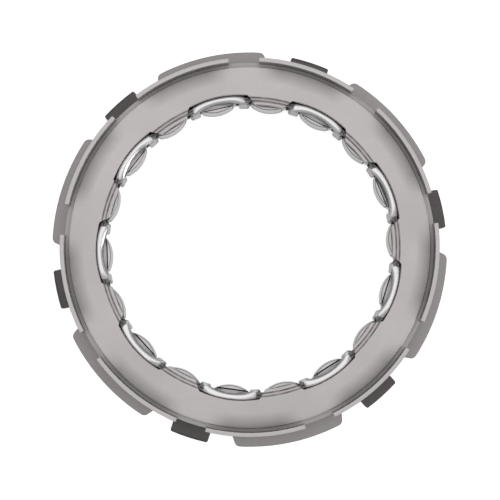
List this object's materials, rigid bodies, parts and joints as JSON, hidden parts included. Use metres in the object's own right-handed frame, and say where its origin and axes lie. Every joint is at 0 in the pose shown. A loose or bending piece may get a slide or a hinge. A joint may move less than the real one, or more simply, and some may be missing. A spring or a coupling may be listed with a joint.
{
  "type": "sprag clutch",
  "caption": "Ring-shaped one-way clutch with rocking cam sprags in two cages, a flat lipped front plate and a lugged outer race.",
  "frame": {"origin": "point on the clutch axis in the plane of the rear face", "axes": "+Z along the clutch axis, out of the front face; +Y is up in the reference view"},
  "size_m": [0.1, 0.1, 0.017],
  "materials": {
    "race_steel": "machined, matt grey",
    "black_steel": "phosphated, dark grey",
    "plate_steel": "tumbled, satin warm grey",
    "cage_steel": "rolled strip",
    "spring_steel": "tempered strip",
    "polished_steel": "bright polished",
    "sprag_steel": "hardened and tumbled"
  },
  "bodies": {
    "race": {"outer_race": "race_steel", "rear_plate": "black_steel"},
    "cage": {"front_plate": "plate_steel", "outer_cage": "cage_steel", "ribbon_spring": "spring_steel"},
    "inner_cage": {"inner_cage": "polished_steel"},
    "sprag_01": {"sprag_01": "sprag_steel"},
    "sprag_02": {"sprag_02": "sprag_steel"},
    "sprag_03": {"sprag_03": "sprag_steel"},
    "sprag_04": {"sprag_04": "sprag_steel"},
    "sprag_05": {"sprag_05": "sprag_steel"},
    "sprag_06": {"sprag_06": "sprag_steel"},
    "sprag_07": {"sprag_07": "sprag_steel"},
    "sprag_08": {"sprag_08": "sprag_steel"},
    "sprag_09": {"sprag_09": "sprag_steel"},
    "sprag_10": {"sprag_10": "sprag_steel"},
    "sprag_11": {"sprag_11": "sprag_steel"},
    "sprag_12": {"sprag_12": "sprag_steel"},
    "sprag_13": {"sprag_13": "sprag_steel"},
    "sprag_14": {"sprag_14": "sprag_steel"},
    "sprag_15": {"sprag_15": "sprag_steel"},
    "sprag_16": {"sprag_16": "sprag_steel"},
    "sprag_17": {"sprag_17": "sprag_steel"},
    "sprag_18": {"sprag_18": "sprag_steel"}
  },
  "joints": [
    {"name": "cage_spin", "type": "hinge", "parent": "race", "child": "cage", "pos_m": [0, 0, 0.0075], "axis": [0, 0, 1], "continuous": true},
    {"name": "cage_phasing", "type": "hinge", "parent": "cage", "child": "inner_cage", "pos_m": [0, 0, 0.0075], "axis": [0, 0, 1], "range_deg": [0, 0.52]},
    {"name": "sprag_01_rock", "type": "hinge", "parent": "cage", "child": "sprag_01", "pos_m": [0.00556, 0.04062, 0.0075], "axis": [0, 0, 1], "range_deg": [-4.1, 0.1]},
    {"name": "sprag_02_rock", "type": "hinge", "parent": "cage", "child": "sprag_02", "pos_m": [0.01912, 0.03627, 0.0075], "axis": [0, 0, 1], "range_deg": [-4.1, 0.1]},
    {"name": "sprag_03_rock", "type": "hinge", "parent": "cage", "child": "sprag_03", "pos_m": [0.03037, 0.02754, 0.0075], "axis": [0, 0, 1], "range_deg": [-4.1, 0.1]},
    {"name": "sprag_04_rock", "type": "hinge", "parent": "cage", "child": "sprag_04", "pos_m": [0.03796, 0.01549, 0.0075], "axis": [0, 0, 1], "range_deg": [-4.1, 0.1]},
    {"name": "sprag_05_rock", "type": "hinge", "parent": "cage", "child": "sprag_05", "pos_m": [0.04097, 0.00157, 0.0075], "axis": [0, 0, 1], "range_deg": [-4.1, 0.1]},
    {"name": "sprag_06_rock", "type": "hinge", "parent": "cage", "child": "sprag_06", "pos_m": [0.03904, -0.01253, 0.0075], "axis": [0, 0, 1], "range_deg": [-4.1, 0.1]},
    {"name": "sprag_07_rock", "type": "hinge", "parent": "cage", "child": "sprag_07", "pos_m": [0.0324, -0.02513, 0.0075], "axis": [0, 0, 1], "range_deg": [-4.1, 0.1]},
    {"name": "sprag_08_rock", "type": "hinge", "parent": "cage", "child": "sprag_08", "pos_m": [0.02185, -0.03469, 0.0075], "axis": [0, 0, 1], "range_deg": [-4.1, 0.1]},
    {"name": "sprag_09_rock", "type": "hinge", "parent": "cage", "child": "sprag_09", "pos_m": [0.00866, -0.04007, 0.0075], "axis": [0, 0, 1], "range_deg": [-4.1, 0.1]},
    {"name": "sprag_10_rock", "type": "hinge", "parent": "cage", "child": "sprag_10", "pos_m": [-0.00556, -0.04062, 0.0075], "axis": [0, 0, 1], "range_deg": [-4.1, 0.1]},
    {"name": "sprag_11_rock", "type": "hinge", "parent": "cage", "child": "sprag_11", "pos_m": [-0.01912, -0.03627, 0.0075], "axis": [0, 0, 1], "range_deg": [-4.1, 0.1]},
    {"name": "sprag_12_rock", "type": "hinge", "parent": "cage", "child": "sprag_12", "pos_m": [-0.03037, -0.02754, 0.0075], "axis": [0, 0, 1], "range_deg": [-4.1, 0.1]},
    {"name": "sprag_13_rock", "type": "hinge", "parent": "cage", "child": "sprag_13", "pos_m": [-0.03796, -0.01549, 0.0075], "axis": [0, 0, 1], "range_deg": [-4.1, 0.1]},
    {"name": "sprag_14_rock", "type": "hinge", "parent": "cage", "child": "sprag_14", "pos_m": [-0.04097, -0.00157, 0.0075], "axis": [0, 0, 1], "range_deg": [-4.1, 0.1]},
    {"name": "sprag_15_rock", "type": "hinge", "parent": "cage", "child": "sprag_15", "pos_m": [-0.03904, 0.01253, 0.0075], "axis": [0, 0, 1], "range_deg": [-4.1, 0.1]},
    {"name": "sprag_16_rock", "type": "hinge", "parent": "cage", "child": "sprag_16", "pos_m": [-0.0324, 0.02513, 0.0075], "axis": [0, 0, 1], "range_deg": [-4.1, 0.1]},
    {"name": "sprag_17_rock", "type": "hinge", "parent": "cage", "child": "sprag_17", "pos_m": [-0.02185, 0.03469, 0.0075], "axis": [0, 0, 1], "range_deg": [-4.1, 0.1]},
    {"name": "sprag_18_rock", "type": "hinge", "parent": "cage", "child": "sprag_18", "pos_m": [-0.00866, 0.04007, 0.0075], "axis": [0, 0, 1], "range_deg": [-4.1, 0.1]}
  ],
  "couplings": [
    {"joint": "sprag_01_rock", "follows": "cage_phasing", "ratio": -7.7},
    {"joint": "sprag_02_rock", "follows": "cage_phasing", "ratio": -7.7},
    {"joint": "sprag_03_rock", "follows": "cage_phasing", "ratio": -7.7},
    {"joint": "sprag_04_rock", "follows": "cage_phasing", "ratio": -7.7},
    {"joint": "sprag_05_rock", "follows": "cage_phasing", "ratio": -7.7},
    {"joint": "sprag_06_rock", "follows": "cage_phasing", "ratio": -7.7},
    {"joint": "sprag_07_rock", "follows": "cage_phasing", "ratio": -7.7},
    {"joint": "sprag_08_rock", "follows": "cage_phasing", "ratio": -7.7},
    {"joint": "sprag_09_rock", "follows": "cage_phasing", "ratio": -7.7},
    {"joint": "sprag_10_rock", "follows": "cage_phasing", "ratio": -7.7},
    {"joint": "sprag_11_rock", "follows": "cage_phasing", "ratio": -7.7},
    {"joint": "sprag_12_rock", "follows": "cage_phasing", "ratio": -7.7},
    {"joint": "sprag_13_rock", "follows": "cage_phasing", "ratio": -7.7},
    {"joint": "sprag_14_rock", "follows": "cage_phasing", "ratio": -7.7},
    {"joint": "sprag_15_rock", "follows": "cage_phasing", "ratio": -7.7},
    {"joint": "sprag_16_rock", "follows": "cage_phasing", "ratio": -7.7},
    {"joint": "sprag_17_rock", "follows": "cage_phasing", "ratio": -7.7},
    {"joint": "sprag_18_rock", "follows": "cage_phasing", "ratio": -7.7}
  ]
}
